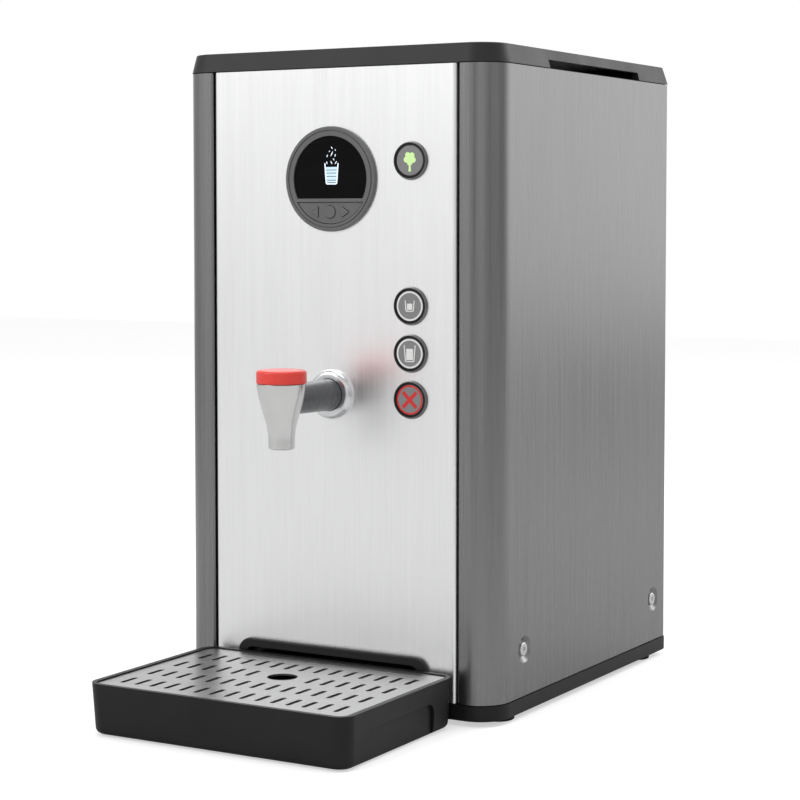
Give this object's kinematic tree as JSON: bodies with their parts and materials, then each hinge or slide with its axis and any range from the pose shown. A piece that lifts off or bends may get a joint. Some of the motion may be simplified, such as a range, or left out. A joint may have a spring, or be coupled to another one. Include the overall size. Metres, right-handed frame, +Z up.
{
  "type": "countertop water dispenser",
  "caption": "Countertop hot water dispenser: steel casing, round display with menu keys, push buttons, front tap with a red cap, slotted drip tray and plastic lid.",
  "frame": {"origin": "middle of the footprint, on the counter", "axes": "+X to the right seen from the front, -Y towards the user, +Z up"},
  "size_m": [0.234, 0.4154, 0.4205],
  "materials": {
    "black_plastic": "fine texture",
    "lid_plastic": "satin",
    "rubber": "matt",
    "inner_steel": "mill",
    "dark_steel": "dark brushed",
    "bright_steel": "bright brushed",
    "grid_steel": "satin",
    "satin_steel": "satin",
    "screw_steel": "bright",
    "grey_plastic": "satin",
    "dark_window": "gloss",
    "circuit_board": "solder mask",
    "chrome": "polished",
    "arm_metal": "dark satin",
    "brass": "machined",
    "red_plastic": "satin",
    "silicone": "translucent white",
    "foam": "closed cell",
    "element_metal": "dull",
    "valve_plastic": "moulded",
    "rocker_plastic": "gloss",
    "wire_plastic": "sleeved",
    "bezel_metal": "satin",
    "cap_plastic": "satin"
  },
  "bodies": {
    "casing": {"base_skirt": "black_plastic", "tray_collar": "black_plastic", "rubber_feet": "rubber", "chassis_floor": "inner_steel", "side_panel_left": "dark_steel", "side_panel_right": "dark_steel", "side_screws": "screw_steel", "rear_screws": "screw_steel", "boiler_lid_screws": "screw_steel", "front_panel": "bright_steel", "rear_panel": "inner_steel", "display_ring": "grey_plastic", "display_window": "dark_window", "display_board": "circuit_board", "display_housing": "black_plastic", "key_pad": "grey_plastic", "button_nuts": "black_plastic", "button_board": "circuit_board", "tap_flange": "chrome", "tap_arm": "arm_metal", "tap_nut": "brass", "spout_body": "satin_steel", "boiler_tank": "inner_steel", "boiler_gasket": "silicone", "boiler_lid": "inner_steel", "boiler_stand": "inner_steel", "boiler_insulation": "foam", "heating_element": "element_metal", "boiler_probes": "element_metal", "dry_boil_cutout": "black_plastic", "outlet_valve": "valve_plastic", "outlet_hose": "silicone", "inlet_valve": "valve_plastic", "water_hoses": "silicone", "board_bracket": "inner_steel", "control_board": "circuit_board", "terminal_block": "valve_plastic", "cable_gland": "black_plastic", "mains_switch_body": "black_plastic", "wiring_loom": "wire_plastic", "eco_button_bezel": "bezel_metal", "eco_button_spring": "screw_steel", "small_cup_button_bezel": "bezel_metal", "small_cup_button_spring": "screw_steel", "large_cup_button_bezel": "bezel_metal", "large_cup_button_spring": "screw_steel", "stop_button_bezel": "bezel_metal", "stop_button_spring": "screw_steel"},
    "drip_tray": {"drip_tray": "black_plastic"},
    "drip_grid": {"drip_grid": "grid_steel"},
    "top_lid": {"top_lid": "lid_plastic"},
    "spout_cap": {"spout_cap": "red_plastic"},
    "mains_rocker": {"mains_rocker": "rocker_plastic"},
    "menu_left_key": {"menu_left_key": "grey_plastic"},
    "menu_select_key": {"menu_select_key": "grey_plastic"},
    "menu_right_key": {"menu_right_key": "grey_plastic"},
    "eco_button_cap": {"eco_button_cap": "cap_plastic"},
    "small_cup_button_cap": {"small_cup_button_cap": "cap_plastic"},
    "large_cup_button_cap": {"large_cup_button_cap": "cap_plastic"},
    "stop_button_cap": {"stop_button_cap": "cap_plastic"}
  },
  "joints": [
    {"name": "drip_tray_slide", "type": "slide", "parent": "casing", "child": "drip_tray", "axis": [0, -1, 0], "range_m": [0, 0.06]},
    {"name": "drip_grid_lift", "type": "slide", "parent": "drip_tray", "child": "drip_grid", "axis": [0, 0, 1], "range_m": [0, 0.05]},
    {"name": "top_lid_lift", "type": "slide", "parent": "casing", "child": "top_lid", "axis": [0, 0, 1], "range_m": [0, 0.03]},
    {"name": "spout_cap_lift", "type": "slide", "parent": "casing", "child": "spout_cap", "axis": [0, 0, 1], "range_m": [0, 0.02]},
    {"name": "mains_rocker_tilt", "type": "hinge", "parent": "casing", "child": "mains_rocker", "pos_m": [-0.076, 0.19135, 0.096], "axis": [1, 0, 0], "range_deg": [0, 16]},
    {"name": "menu_left_key_press", "type": "slide", "parent": "casing", "child": "menu_left_key", "axis": [0, 1, 0], "range_m": [0, 0.0006], "stiffness_N_per_m": 500, "springref_m": -0.0008},
    {"name": "menu_select_key_press", "type": "slide", "parent": "casing", "child": "menu_select_key", "axis": [0, 1, 0], "range_m": [0, 0.0006], "stiffness_N_per_m": 500, "springref_m": -0.0008},
    {"name": "menu_right_key_press", "type": "slide", "parent": "casing", "child": "menu_right_key", "axis": [0, 1, 0], "range_m": [0, 0.0006], "stiffness_N_per_m": 500, "springref_m": -0.0008},
    {"name": "eco_button_press", "type": "slide", "parent": "casing", "child": "eco_button_cap", "axis": [0, 1, 0], "range_m": [0, 0.0015], "stiffness_N_per_m": 800, "springref_m": -0.001, "deforming": ["eco_button_spring"]},
    {"name": "small_cup_button_press", "type": "slide", "parent": "casing", "child": "small_cup_button_cap", "axis": [0, 1, 0], "range_m": [0, 0.0015], "stiffness_N_per_m": 800, "springref_m": -0.001, "deforming": ["small_cup_button_spring"]},
    {"name": "large_cup_button_press", "type": "slide", "parent": "casing", "child": "large_cup_button_cap", "axis": [0, 1, 0], "range_m": [0, 0.0015], "stiffness_N_per_m": 800, "springref_m": -0.001, "deforming": ["large_cup_button_spring"]},
    {"name": "stop_button_press", "type": "slide", "parent": "casing", "child": "stop_button_cap", "axis": [0, 1, 0], "range_m": [0, 0.0015], "stiffness_N_per_m": 800, "springref_m": -0.001, "deforming": ["stop_button_spring"]}
  ]
}
